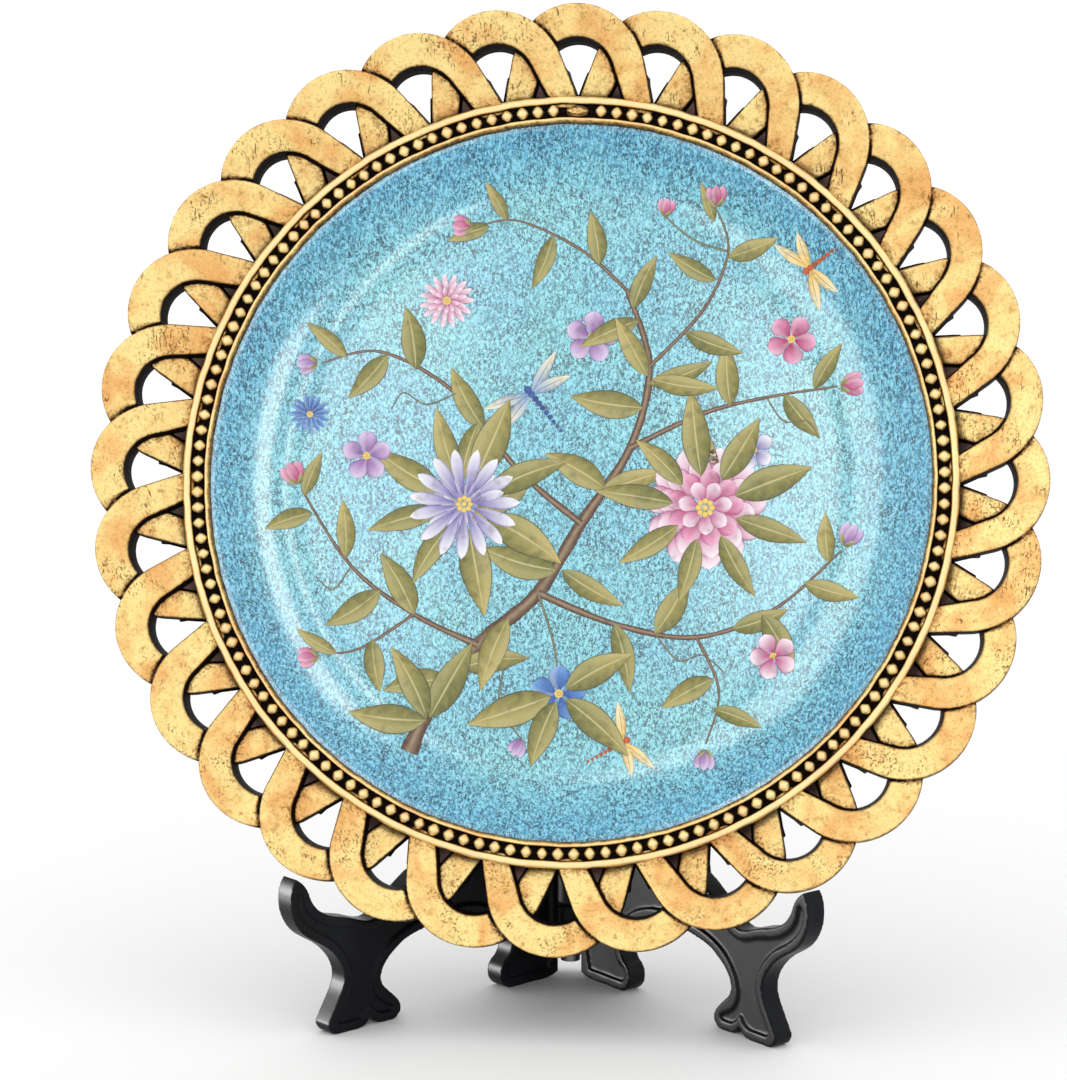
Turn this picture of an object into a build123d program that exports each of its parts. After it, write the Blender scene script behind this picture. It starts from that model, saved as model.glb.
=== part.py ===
from build123d import *
from math import cos, degrees, radians, sin, sqrt
import os

# A round display plate with an openwork rim of interlaced loops, standing on a folding stand of two
# leaves hinged at the back like a book. Millimetres, +Z up, the plate faces -Y. The origin is on the
# table, under the middle of the whole object's plan. "Front" of the plate is its face; "reach" is
# measured along a leaf of the stand from its hinge.

# ---------------------------------------------------------------- driving dimensions: the plate
plate_radius = 160.5          # centre to the tips of the loops
recline = 17.0                # lean of the plate back from upright, degrees
dish_radius = 125.5           # outer edge of the ceramic dish
dish_flange = 4.5             # thickness of the dish's edge
dish_wall_run = 25.5          # width of the well's wall, from the dish's edge to its floor
dish_floor_depth = 8.2        # floor of the well below the dish's edge
dish_crown = 0.8              # how much deeper the centre of the well is than its floor's edge
dish_wall = 5.0               # thickness of the dish's floor
foot_ring_setback = 16.0      # foot ring inside the edge of the well's floor
foot_ring_width = 4.5
foot_ring_height = 3.5
bed_thickness = 0.8           # glue under the dish's edge
bed_width = 6.0
bezel_cover = 5.1             # the bezel covers this much of the dish's edge
bezel_overhang = 5.5          # the bezel stands out past the dish by this much
inner_band_width = 2.2
outer_band_width = 2.4
bezel_floor = 1.0             # thickness of the bezel under its channel
inner_band_height = 2.9
outer_band_height = 3.2
bead_radius = 1.85
bead_sink = 1.25              # how far each bead's centre stands above the channel's floor
bead_spacing = 5.3            # from one bead's centre to the next
medallion_length = 8.2
medallion_width = 4.4
medallion_height = 2.6
medallion_rounding = 1.0
medallion_gap = 2.2           # from the boss to the bead on either side of it
loop_count = 32
loop_arc_radius = 18.0        # centre line of a loop's round end
loop_bend = 75.0              # the round end turns this far each way before the straight legs
strand_width = 10.8
foot_width = 8.6              # width of a strand where it meets the bezel
rim_slope = 0.46              # rise of the rim towards the viewer for each millimetre outwards
rim_start_height = 0.3        # front of the loops' feet above the bezel's reference plane
rim_thickness = 8.0
under_step = 2.6              # how much lower the strands lie that pass behind
under_step_at_bezel = 2.4     # the same where they meet the bezel
over_strand_start = -48.0     # a loop lies on top from this angle of its round end onwards
collar_width = 6.0            # collar standing out past the bezel behind the loops' feet
collar_cover = 8.0            # the collar reaches this far in under the dish's edge
foot_thickness = 4.7          # thickness of the loops' feet over the collar
collar_edge = 4.6             # thickness of the collar at its outside

# ---------------------------------------------------------------- driving dimensions: the stand
hinge_setback = 28.2          # hinge axis behind the middle of the object's plan
leaf_half_angle = 43.0        # each leaf stands this far from straight ahead, degrees
leaf_thickness = 7.5
fold_gap = 0.2                # each leaf's inner face clears the fold plane by this much
seat_reach = 98.0             # front edge of the rim where it sits in the hook
seat_height = 42.0
hook_floor_height = 39.5
hook_inner_reach = 112.0
lip_reach = 122.5
lip_height = 56.0
toe_reach = 107.5
waist_front_reach = 100.5
waist_back_reach = 85.0
waist_height = 17.0
heel_reach = 76.5
foot_notch_height = 3.0
arch_height = 30.0
rear_toe_reach = 32.0
rear_heel_reach = 7.0
post_height = 121.0
post_top_width = 16.0
slope_points = ((24.0, 102.2), (29.0, 93.8), (44.0, 73.5), (56.0, 55.6), (68.0, 48.8), (81.0, 40.2))
slope_foot = (88.5, 36.4)     # lowest point of the sloping edge, behind the hook
hinge_bottom = 7.0            # underside of the lowest knuckle
panel_border = 3.2            # raised border round each leaf
panel_depth = 1.1
knuckle_radius = 5.0
knuckle_count = 6
knuckle_gap = 0.4             # between one knuckle and the next
pin_radius = 1.6
pin_clearance = 0.05
pin_head_radius = 3.4
pin_head_height = 1.8
pin_tail = 3.0                # rod standing out below the lowest knuckle
cap_height = 2.4
seat_gap = 0.3                # everywhere between the plate and the stand


# ---------------------------------------------------------------- derived: the plate's radii
bezel_inner_radius = dish_radius - bezel_cover
bezel_outer_radius = dish_radius + bezel_overhang
dish_floor_radius = dish_radius - dish_wall_run
foot_ring_radius = dish_floor_radius - foot_ring_setback
collar_inner_radius = dish_radius - collar_cover
collar_radius = bezel_outer_radius + collar_width
hoop_radius = dish_radius + 0.7                  # inside of the rim's own hoop


# ---------------------------------------------------------------- derived: the plate's own frame
lean = radians(recline)
spread = radians(leaf_half_angle)
facing = Vector(0, -cos(lean), sin(lean))
upward = Vector(0, sin(lean), cos(lean))
hinge_plane = Plane(origin=(0, hinge_setback, 0))


def rim_front(r):
    """Height of the rim's front over the reference plane at radius r."""
    return rim_start_height + (r - bezel_outer_radius) * rim_slope


rim_peak = rim_front(plate_radius)

# The front edge of the rim touches each leaf at seat_reach and seat_height, which places the plate.
seat_x = seat_reach * sin(spread)
seat_y = hinge_setback - seat_reach * cos(spread)
seat_along = seat_y * facing.Y + seat_height * facing.Z
seat_up = seat_y * upward.Y + seat_height * upward.Z
centre_along = seat_along - rim_peak - seat_gap
centre_up = seat_up + sqrt((plate_radius + seat_gap) ** 2 - seat_x ** 2)
plate_centre = facing * centre_along + upward * centre_up

plate_plane = Plane(origin=plate_centre, x_dir=(1, 0, 0), z_dir=facing)
profile_plane = Plane(origin=plate_centre, x_dir=(1, 0, 0), z_dir=-upward)
plate_axis = Axis(plate_centre, facing)

bed_top = -2.2                                   # dish edge, rim hoop and bezel base all lie here
edge_bottom = bed_top - dish_flange
ledge_height = edge_bottom - bed_thickness
channel_floor = bed_top + bezel_floor
channel_inner = bezel_inner_radius + inner_band_width
channel_outer = bezel_outer_radius - outer_band_width
channel_radius = (channel_inner + channel_outer) / 2
well_floor = bed_top - dish_floor_depth
dish_back = well_floor - dish_wall
foot_back = dish_back - foot_ring_height
collar_outer_top = rim_front(collar_radius) - foot_thickness - 0.1
collar_bottom = ledge_height - collar_edge
dish_turn_radius = collar_inner_radius - 0.8     # where the dish's underside leaves its edge


# ---------------------------------------------------------------- glazed dish
with BuildPart() as glazed_dish:
    with BuildSketch(profile_plane):
        with BuildLine():
            well = Bezier(
                (0, well_floor - dish_crown),
                (dish_floor_radius * 0.45, well_floor - dish_crown),
                (dish_floor_radius * 0.8, well_floor - dish_crown * 0.75),
                (dish_floor_radius * 0.92, well_floor - dish_crown * 0.2),
            )
            well_wall = Spline(
                well @ 1,
                (dish_floor_radius + 8, well_floor + 2.8),
                (bezel_inner_radius - 1.2, bed_top - 0.6),
                (bezel_inner_radius + 0.3, bed_top),
                tangents=(well % 1, (1, 0.25)),
            )
            Polyline(
                well_wall @ 1,
                (dish_radius, bed_top),
                (dish_radius, edge_bottom),
                (dish_turn_radius, edge_bottom),
                (dish_floor_radius, dish_back),
                (foot_ring_radius, dish_back),
                (foot_ring_radius, foot_back),
                (foot_ring_radius - foot_ring_width, foot_back),
                (foot_ring_radius - foot_ring_width, dish_back),
                (0, dish_back),
                well @ 0,
            )
        make_face()
    revolve(axis=plate_axis)
    foot_edges = glazed_dish.edges().filter_by(GeomType.CIRCLE)
    foot_edges = foot_edges.filter_by(lambda e: abs(plate_plane.to_local_coords(e.center()).Z - foot_back) < 0.01)
    fillet(foot_edges, foot_ring_width / 4)
glazed_dish.part.label = "glazed_dish"


# ---------------------------------------------------------------- glue bed under the dish's edge
with BuildPart() as dish_adhesive:
    with BuildSketch(plate_plane.offset(ledge_height)):
        Circle(dish_radius - 0.5)
        Circle(dish_radius - 0.5 - bed_width, mode=Mode.SUBTRACT)
    extrude(amount=bed_thickness)
dish_adhesive.part.label = "dish_adhesive"


# ---------------------------------------------------------------- collar behind the loops' feet
with BuildPart() as rim_collar:
    with BuildSketch(profile_plane):
        with BuildLine():
            Polyline(
                (collar_inner_radius, ledge_height),
                (hoop_radius - 0.2, ledge_height),
                (hoop_radius - 0.2, rim_front(hoop_radius - 0.2) - foot_thickness - 0.1),
                (collar_radius, collar_outer_top),
                (collar_radius, collar_outer_top - collar_edge),
                (hoop_radius, collar_bottom),
                (collar_inner_radius, collar_bottom),
                close=True,
            )
        make_face()
    revolve(axis=plate_axis)
rim_collar.part.label = "rim_collar"


# ---------------------------------------------------------------- openwork rim
loop_centre = plate_radius - loop_arc_radius - strand_width / 2
bend = radians(loop_bend)
loop_pitch = 360 / loop_count


def strand(first_angle, legs):
    """Flat strand of one loop: its round end from first_angle to loop_bend, and the legs named."""
    half = strand_width / 2
    foot_half = foot_width / 2
    with BuildSketch() as shape:
        with BuildLine():
            outer = CenterArc((0, loop_centre), loop_arc_radius + half, 90 - loop_bend, loop_bend - first_angle)
            inner = CenterArc((0, loop_centre), loop_arc_radius - half, 90 - loop_bend, loop_bend - first_angle)
            Line(outer @ 0, inner @ 0)
            Line(outer @ 1, inner @ 1)
        make_face()
        for side in legs:
            shoulder_x = loop_arc_radius * sin(bend)
            shoulder_y = loop_centre + loop_arc_radius * cos(bend)
            run = (shoulder_y - hoop_radius) / sin(bend) + 2
            foot_x = shoulder_x + run * cos(bend)
            foot_y = shoulder_y - run * sin(bend)
            across_x = sin(bend)
            across_y = cos(bend)
            with BuildLine():
                Polyline(
                    (side * (shoulder_x + half * across_x), shoulder_y + half * across_y),
                    (side * (foot_x + foot_half * across_x), foot_y + foot_half * across_y),
                    (side * (foot_x - foot_half * across_x), foot_y - foot_half * across_y),
                    (side * (shoulder_x - half * across_x), shoulder_y - half * across_y),
                    close=True,
                )
            make_face()
    return shape.sketch


def rim_shell(drop):
    """Section of the rim, its front lowered by drop."""
    far = plate_radius + 2
    step = collar_radius + 0.2
    return [
        (hoop_radius, bed_top),
        (bezel_outer_radius + 0.1, bed_top),
        (bezel_outer_radius + 0.1, rim_front(bezel_outer_radius + 0.1) - min(drop, under_step_at_bezel)),
        (bezel_outer_radius + 2, rim_front(bezel_outer_radius + 2) - drop),
        (far, rim_front(far) - drop),
        (far, rim_front(far) - rim_thickness),
        (step, rim_front(step) - rim_thickness),
        (step, rim_front(step) - foot_thickness),
        (hoop_radius, rim_front(hoop_radius) - foot_thickness),
    ]


under_strand = strand(-loop_bend, (-1, 1))
over_strand = strand(over_strand_start, (1,))


def lattice(one_strand, drop):
    """All the strands of one level, as a solid of the rim's section."""
    with BuildPart() as level:
        with BuildSketch(plate_plane.offset(-15)):
            with PolarLocations(0, loop_count, start_angle=0):
                add(one_strand)
        extrude(amount=40)
        with BuildSketch(profile_plane):
            with BuildLine():
                Polyline(*rim_shell(drop), close=True)
            make_face()
        revolve(axis=plate_axis, mode=Mode.INTERSECT)
    return level.part


with BuildPart() as openwork_rim:
    add(lattice(under_strand, under_step))
    add(lattice(over_strand, 0))
    with BuildSketch(profile_plane):
        with BuildLine():
            Polyline(
                (hoop_radius, bed_top),
                (bezel_outer_radius + 0.1, bed_top),
                (bezel_outer_radius + 0.1, rim_front(bezel_outer_radius + 0.1) - foot_thickness),
                (hoop_radius, rim_front(hoop_radius) - foot_thickness),
                close=True,
            )
        make_face()
    revolve(axis=plate_axis)
openwork_rim.part.label = "openwork_rim"


# ---------------------------------------------------------------- beaded bezel
with BuildPart() as beaded_bezel:
    with BuildSketch(profile_plane):
        with BuildLine():
            Polyline(
                (bezel_inner_radius, bed_top),
                (bezel_inner_radius, bed_top + inner_band_height),
                (channel_inner, bed_top + inner_band_height),
                (channel_inner, channel_floor),
                (channel_outer, channel_floor),
                (channel_outer, bed_top + outer_band_height),
                (bezel_outer_radius, bed_top + outer_band_height),
                (bezel_outer_radius, bed_top),
                close=True,
            )
        make_face()
    revolve(axis=plate_axis)
    band_tops = beaded_bezel.edges().filter_by(GeomType.CIRCLE)
    band_tops = band_tops.filter_by(lambda e: plate_plane.to_local_coords(e.center()).Z > channel_floor + 0.5)
    fillet(band_tops, inner_band_width * 0.42)
beaded_bezel.part.label = "beaded_bezel"


# ---------------------------------------------------------------- beads and the oval boss at the top
medallion_angle = degrees((medallion_length / 2 + medallion_gap + bead_radius) / channel_radius)
bead_count = 1 + round(radians(360 - 2 * medallion_angle) * channel_radius / bead_spacing)
bead_pitch = (360 - 2 * medallion_angle) / (bead_count - 1)
bead_angles = [90 + medallion_angle + k * bead_pitch for k in range(bead_count)]
bead_plane = plate_plane.offset(channel_floor)
bead_foot = sqrt(bead_radius ** 2 - bead_sink ** 2)

with BuildPart() as one_bead:
    with BuildSketch(Plane.XZ):
        with BuildLine():
            bead_arc = ThreePointArc(
                (bead_foot, 0),
                (bead_radius, bead_sink),
                (0, bead_sink + bead_radius),
            )
            Polyline(bead_arc @ 1, (0, 0), bead_arc @ 0)
        make_face()
    revolve(axis=Axis.Z)

with BuildPart() as bead_row:
    with Locations(bead_plane):
        with Locations(*[
            (channel_radius * cos(radians(a)), channel_radius * sin(radians(a)), 0) for a in bead_angles
        ]):
            add(one_bead.part)
bead_row.part.label = "bead_row"

with BuildPart() as top_medallion:
    with BuildSketch(bead_plane):
        with Locations((0, channel_radius)):
            Ellipse(medallion_length / 2, medallion_width / 2)
    extrude(amount=medallion_height)
    fillet(top_medallion.faces().sort_by(plate_axis)[-1].edges(), medallion_rounding)
top_medallion.part.label = "top_medallion"


# ---------------------------------------------------------------- leaves of the stand
def leaf_outline(inset):
    """Edge of a leaf, moved inwards by inset: x is the reach from the hinge, y the height."""

    def at(reach, height, inward_x, inward_y):
        return (reach + inset * inward_x, height + inset * inward_y)

    hinge_side = knuckle_radius + inset if inset else 0
    with BuildSketch() as outline:
        with BuildLine():
            front = Spline(
                at(lip_reach - 2.5, lip_height, -0.2, -1.75),
                at(lip_reach, lip_height - 7, -0.85, 0),
                at(lip_reach - 4.5, hook_floor_height - 2, -0.8, 0.6),
                at(toe_reach, (hook_floor_height + waist_height) / 2 + 2, -0.7, 0.7),
                at(waist_front_reach, waist_height + 1, -1, 0),
                at(toe_reach - 4, waist_height - 6, -1, -0.2),
                at(toe_reach, 4, -1.1, 0.3),
            )
            toe = ThreePointArc(front @ 1, at(toe_reach - 1.2, 1.1, -0.9, 0.9), at(toe_reach - 4, 0, -0.4, 1))
            Line(toe @ 1, at(toe_reach - 13, 0, 0.3, 1))
            notch = Spline(
                at(toe_reach - 13, 0, 0.3, 1),
                at((toe_reach + heel_reach) / 2 - 2.5, foot_notch_height, 0, 1.2),
                at(heel_reach + 8, 0, -0.3, 1),
                tangents=((-1, 0), (-1, 0)),
            )
            Line(notch @ 1, at(heel_reach + 3, 0, 0.4, 1))
            underside = Spline(
                at(heel_reach + 3, 0, 0.4, 1),
                at(heel_reach, 4, 1, 0.1),
                at(heel_reach + 3.5, 9, 1, -0.7),
                at(waist_back_reach, waist_height - 2, 1, -0.3),
                at(waist_back_reach - 4, waist_height + 5.5, 0.7, 0.7),
                at(waist_back_reach - 21, arch_height - 0.7, 0.1, 1),
                at(rear_toe_reach + 10, arch_height - 0.7, -0.2, 1),
                at(rear_toe_reach - 1, arch_height - 7, -1, 0.6),
                at(rear_toe_reach - 5, waist_height, -1, 0),
                at(rear_toe_reach - 3, 10.5, -1, -0.3),
            )
            rear_toe = ThreePointArc(
                underside @ 1,
                at(rear_toe_reach, 4.5, -1, -0.1),
                at(rear_toe_reach - 4, 0, -0.2, 1),
            )
            Line(rear_toe @ 1, (max(rear_heel_reach + 3, hinge_side), inset))
            if inset:
                Polyline(
                    (max(rear_heel_reach + 3, hinge_side), inset),
                    (hinge_side, hinge_bottom + inset),
                    (hinge_side, post_height - 4 - inset),
                )
            else:
                rise = Spline((rear_heel_reach + 3, 0), (0, hinge_bottom), tangents=((-1, 0.1), (-0.6, 1)))
                Line(rise @ 1, (0, post_height - 4))
            slope = Spline(
                (hinge_side, post_height - 4 - inset),
                at(post_top_width * 0.55, post_height, 0.6, -1),
                at(post_top_width, post_height - 4.5, -0.7, -1.1),
                *[at(reach, height, -0.7, -0.7) for reach, height in slope_points],
                at(*slope_foot, 0, -1),
                at(seat_reach, hook_floor_height - 0.6, 0, -1),
                at(seat_reach + 5.5, hook_floor_height + 0.8, 0.2, -1),
                at(hook_inner_reach, hook_floor_height + 5.5, 0.8, -0.6),
                at(hook_inner_reach + 2.5, lip_height - 7, 0.75, -0.4),
            )
            Spline(
                slope @ 1,
                at((hook_inner_reach + lip_reach) / 2 + 1, lip_height - 1.2, 0.1, -1.2),
                front @ 0,
            )
        make_face()
    return outline.sketch


knuckle_span = (post_height - 4 - hinge_bottom) / knuckle_count
hinge_top = hinge_bottom + knuckle_count * knuckle_span - knuckle_gap / 2
hinge_low = hinge_bottom + knuckle_gap / 2
outline = leaf_outline(0)
panel = leaf_outline(panel_border)


def leaf(side, first_knuckle, name):
    """One leaf. side is -1 for the left leaf and 1 for the right one."""
    along = Vector(side * sin(spread), -cos(spread), 0)
    outward = Vector(side * cos(spread), sin(spread), 0)
    board_plane = Plane(origin=hinge_plane.origin, x_dir=along, z_dir=along.cross(Vector(0, 0, 1)))
    inner = fold_gap if board_plane.z_dir.dot(outward) > 0 else -fold_gap
    thick = leaf_thickness if inner > 0 else -leaf_thickness
    with BuildPart() as board:
        with BuildSketch(board_plane.offset(inner)):
            add(outline)
        extrude(amount=thick)
        # sunk panels on both faces leave a raised border
        for face_place, cut in ((inner, thick), (inner + thick, -thick)):
            with BuildSketch(board_plane.offset(face_place)):
                add(panel)
            extrude(amount=panel_depth * (1 if cut > 0 else -1), mode=Mode.SUBTRACT)
        # the other leaf's knuckles turn in these gaps
        for k in range(knuckle_count):
            low = hinge_bottom + k * knuckle_span
            if k % 2 != first_knuckle:
                with BuildSketch(hinge_plane.offset(low - knuckle_gap / 2)):
                    Circle(knuckle_radius + 0.6)
                extrude(amount=knuckle_span + knuckle_gap, mode=Mode.SUBTRACT)
        for k in range(knuckle_count):
            low = hinge_bottom + k * knuckle_span
            if k % 2 == first_knuckle:
                with BuildSketch(hinge_plane.offset(low + knuckle_gap / 2)):
                    Circle(knuckle_radius)
                extrude(amount=knuckle_span - knuckle_gap)
        # room for the pin's cap below and its head above
        with BuildSketch(hinge_plane, hinge_plane.offset(hinge_top)):
            Circle(knuckle_radius + 0.6)
        extrude(amount=hinge_low, mode=Mode.SUBTRACT)
        with BuildSketch(hinge_plane):
            Circle(pin_radius + pin_clearance)
        extrude(amount=post_height + 10, mode=Mode.SUBTRACT)
    board.part.label = name
    return board.part


left_leaf = leaf(-1, 0, "left_leaf")
right_leaf = leaf(1, 1, "right_leaf")


# ---------------------------------------------------------------- hinge pin and its cap
with BuildPart() as hinge_pin:
    with BuildSketch(hinge_plane.offset(hinge_low - pin_tail)):
        Circle(pin_radius)
    extrude(amount=hinge_top - hinge_low + pin_tail)
    with BuildSketch(hinge_plane.offset(hinge_top + 0.1)):
        Circle(pin_head_radius)
    extrude(amount=pin_head_height)
    with BuildSketch(hinge_plane.offset(hinge_top)):
        Circle(pin_radius)
    extrude(amount=0.1)
hinge_pin.part.label = "hinge_pin"

with BuildPart() as pin_cap:
    with BuildSketch(hinge_plane.offset(hinge_low - 0.1 - cap_height)):
        Circle(pin_head_radius)
        Circle(pin_radius + pin_clearance, mode=Mode.SUBTRACT)
    extrude(amount=cap_height)
pin_cap.part.label = "pin_cap"


# ---------------------------------------------------------------- write the pieces
os.makedirs("parts", exist_ok=True)
pieces = [
    glazed_dish.part,
    dish_adhesive.part,
    rim_collar.part,
    openwork_rim.part,
    beaded_bezel.part,
    bead_row.part,
    top_medallion.part,
    left_leaf,
    right_leaf,
    hinge_pin.part,
    pin_cap.part,
]
for piece in pieces:
    export_step(piece, f"parts/{piece.label}.step")
    print(piece.label, round(piece.volume), len(piece.solids()))
print("plate centre", [round(v, 3) for v in plate_centre])
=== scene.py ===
import math
import random

import bpy
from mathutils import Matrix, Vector
from mathutils.bvhtree import BVHTree


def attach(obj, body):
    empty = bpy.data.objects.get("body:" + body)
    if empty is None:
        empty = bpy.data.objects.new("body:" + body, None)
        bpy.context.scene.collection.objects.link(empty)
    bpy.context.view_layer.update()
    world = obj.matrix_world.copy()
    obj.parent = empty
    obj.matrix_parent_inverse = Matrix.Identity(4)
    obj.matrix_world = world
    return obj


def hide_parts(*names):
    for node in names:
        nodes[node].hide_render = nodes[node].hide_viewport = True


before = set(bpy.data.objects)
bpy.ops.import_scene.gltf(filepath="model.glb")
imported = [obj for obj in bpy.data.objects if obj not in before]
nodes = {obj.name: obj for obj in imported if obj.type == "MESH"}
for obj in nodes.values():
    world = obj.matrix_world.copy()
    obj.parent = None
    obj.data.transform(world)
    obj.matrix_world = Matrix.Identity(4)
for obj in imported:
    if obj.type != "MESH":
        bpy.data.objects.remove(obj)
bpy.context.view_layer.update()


# ------------------------------------------------------------------ glazed dish
# A pressed porcelain dish, a shallow well with a turned foot ring. Its ground is a sky-blue crackle
# glaze: a sponged turquoise colour broken by fine dark teal flecks, under a clear glossy coat.

LEAN = math.radians(17)
ACROSS = Vector((1, 0, 0))
UPWARD = Vector((0, math.sin(LEAN), math.cos(LEAN)))
FACING = Vector((0, -math.cos(LEAN), math.sin(LEAN)))
PLATE_CENTRE = Vector((0, 0.012838, 0.177718))


def on_plate(x, u, w):
    """A point given in the plate's own frame, in millimetres: x across, u up the face, w forwards."""
    return PLATE_CENTRE + (ACROSS * x + UPWARD * u + FACING * w) / 1000


def put(tree, kind, inputs=None, **settings):
    """Adds a shader node. An input is a value, or the output that feeds it."""
    made = tree.nodes.new(kind)
    for name, value in settings.items():
        setattr(made, name, value)
    for name, value in (inputs or {}).items():
        if isinstance(value, bpy.types.NodeSocket):
            tree.links.new(value, made.inputs[name])
        else:
            made.inputs[name].default_value = value
    return made


def object_place(tree):
    """Where a point lies on its piece, so that a pattern keeps its true size."""
    return put(tree, "ShaderNodeTexCoord").outputs["Object"]


def mixed(tree, factor, first, second):
    """Colour made of two colours, the second laid over the first by factor."""
    return put(tree, "ShaderNodeMix", {0: factor, 6: first, 7: second}, data_type="RGBA").outputs[2]


def maths(tree, operation, first, second=0.5, third=0.5):
    return put(tree, "ShaderNodeMath", {0: first, 1: second, 2: third}, operation=operation).outputs[0]


def stepped(tree, value, low, high, start=0.0, end=1.0):
    """Value turned into start below low and end above high, smooth between."""
    limits = {"Value": value, "From Min": low, "From Max": high, "To Min": start, "To Max": end}
    return put(tree, "ShaderNodeMapRange", limits, interpolation_type="SMOOTHSTEP").outputs[0]


def noise(tree, where, scale, detail=2.0, roughness=0.5, distortion=0.0):
    """Noise with about scale cells to the metre."""
    return put(tree, "ShaderNodeTexNoise", {"Vector": where, "Scale": scale, "Detail": detail,
                                            "Roughness": roughness, "Distortion": distortion}).outputs[0]


def group(name, inputs, outputs):
    """New node group with its sockets; returns the tree and its input and output nodes."""
    tree = bpy.data.node_groups.new(name, "ShaderNodeTree")
    for label, kind, value in inputs:
        tree.interface.new_socket(label, in_out="INPUT", socket_type=kind).default_value = value
    for label, kind in outputs:
        tree.interface.new_socket(label, in_out="OUTPUT", socket_type=kind)
    return tree, tree.nodes.new("NodeGroupInput"), tree.nodes.new("NodeGroupOutput")


def material(name, **fixed):
    """New material; fixed values go on the shader's own sockets. Returns material, tree, shader."""
    made = bpy.data.materials.new(name)
    made.use_nodes = True
    tree = made.node_tree
    shader = tree.nodes["Principled BSDF"]
    for label, value in fixed.items():
        shader.inputs[label.replace("_", " ")].default_value = value
    return made, tree, shader


def coloured(tree, shader, colour, roughness=None):
    """Feeds the shader with a colour, and with a roughness where that varies too."""
    tree.links.new(colour, shader.inputs["Base Color"])
    if roughness is not None:
        tree.links.new(roughness, shader.inputs["Roughness"])


def bumped(tree, shader, height, strength, distance):
    """Fine relief, too small to model; distance is in metres."""
    bump = put(tree, "ShaderNodeBump", {"Height": height, "Strength": strength, "Distance": distance})
    tree.links.new(bump.outputs[0], shader.inputs["Normal"])


def dress(name, finish):
    """Gives a carried-over node its material."""
    mesh = nodes[name].data
    mesh.materials.clear()
    mesh.materials.append(finish)


# where a point lies in the plate's frame: its distance from the axis and its height, in millimetres
plate_place, inside, outside = group("plate_place", [], [("Radius", "NodeSocketFloat"),
                                                         ("Height", "NodeSocketFloat")])
arm = put(plate_place, "ShaderNodeVectorMath", {0: object_place(plate_place), 1: PLATE_CENTRE},
          operation="SUBTRACT").outputs[0]
turned = put(plate_place, "ShaderNodeVectorMath", {0: arm, 1: FACING},
             operation="CROSS_PRODUCT").outputs[0]
radius = put(plate_place, "ShaderNodeVectorMath", {0: turned}, operation="LENGTH").outputs["Value"]
height = put(plate_place, "ShaderNodeVectorMath", {0: arm, 1: FACING},
             operation="DOT_PRODUCT").outputs["Value"]
plate_place.links.new(maths(plate_place, "MULTIPLY", radius, 1000), outside.inputs["Radius"])
plate_place.links.new(maths(plate_place, "MULTIPLY", height, 1000), outside.inputs["Height"])

SKY = (0.145, 0.510, 0.655, 1)
TURQUOISE = (0.185, 0.575, 0.635, 1)
DEEP = (0.075, 0.39, 0.63, 1)
FLECK = (0.002, 0.030, 0.055, 1)
PALE = (0.38, 0.80, 0.90, 1)
BISCUIT = (0.80, 0.77, 0.70, 1)
BISCUIT_PALE = (0.88, 0.86, 0.80, 1)
CRUMB_SCALE = 1150.0
LINE_SCALE = 620.0
BREAK_SCALE = 1500.0
CLOUD_SCALE = 26.0
DEEPENS_FROM = 95.0
WELL_RADIUS = 121.0
BARE_BELOW = -14.6
GLAZED_ABOVE = -14.2

glaze, tree, shader = material("crackle_glaze", Roughness=0.42, IOR=1.33,
                               Coat_Weight=0.8, Coat_Roughness=0.13)
place = object_place(tree)
where = put(tree, "ShaderNodeGroup", node_tree=plate_place)
stroke = put(tree, "ShaderNodeMapping", {"Vector": place, "Rotation": (0.0, 0.75, 0.0),
                                         "Scale": (1.0, 1.0, 0.55)}).outputs[0]
# the flecks: short broken lines, and crumbs between them
line = maths(tree, "SUBTRACT", noise(tree, stroke, LINE_SCALE, 2.0, 0.55, 0.6), 0.5)
line = stepped(tree, maths(tree, "ABSOLUTE", line), 0.024, 0.040, 1.0, 0.0)
broken = maths(tree, "MULTIPLY", line, stepped(tree, noise(tree, place, BREAK_SCALE, 2.0, 0.6), 0.41, 0.45))
coarse = noise(tree, stroke, CRUMB_SCALE, 3.0, 0.66, 0.5)
crumbs = maths(tree, "MULTIPLY", stepped(tree, coarse, 0.54, 0.59), 0.85)
crowd = stepped(tree, noise(tree, place, 90.0, 2.0), 0.35, 0.65, 0.75, 1.0)
flecks = maths(tree, "MULTIPLY", maths(tree, "MAXIMUM", broken, crumbs), crowd)
# the ground: clouded, deeper towards the edge, with a pale grain
light_grain = stepped(tree, coarse, 0.53, 0.38, 0.0, 0.60)
cloud = noise(tree, place, CLOUD_SCALE, 3.0, 0.55)
ground = mixed(tree, stepped(tree, cloud, 0.35, 0.65), SKY, TURQUOISE)
deepened = stepped(tree, where.outputs["Radius"], DEEPENS_FROM, WELL_RADIUS, 0.0, 0.9)
ground = mixed(tree, deepened, ground, DEEP)
ground = mixed(tree, light_grain, ground, PALE)
colour = mixed(tree, maths(tree, "MULTIPLY", flecks, 0.95), ground, FLECK)
# the unglazed floor underneath
biscuit = mixed(tree, noise(tree, place, 300.0), BISCUIT, BISCUIT_PALE)
behind = stepped(tree, where.outputs["Height"], BARE_BELOW, GLAZED_ABOVE, 1.0, 0.0)
coloured(tree, shader, mixed(tree, behind, colour, biscuit))
bumped(tree, shader, maths(tree, "SUBTRACT", light_grain, flecks), 0.15, 0.0002)
dress("glazed_dish", glaze)


# ------------------------------------------------------------------ painted decoration
# Flowering branches, painted in enamels over the ground and fired: olive-gold leaves, brown twigs,
# pink, white, lilac and blue blossoms and dragonflies. Each stroke stands a hair above the glaze.

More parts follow.
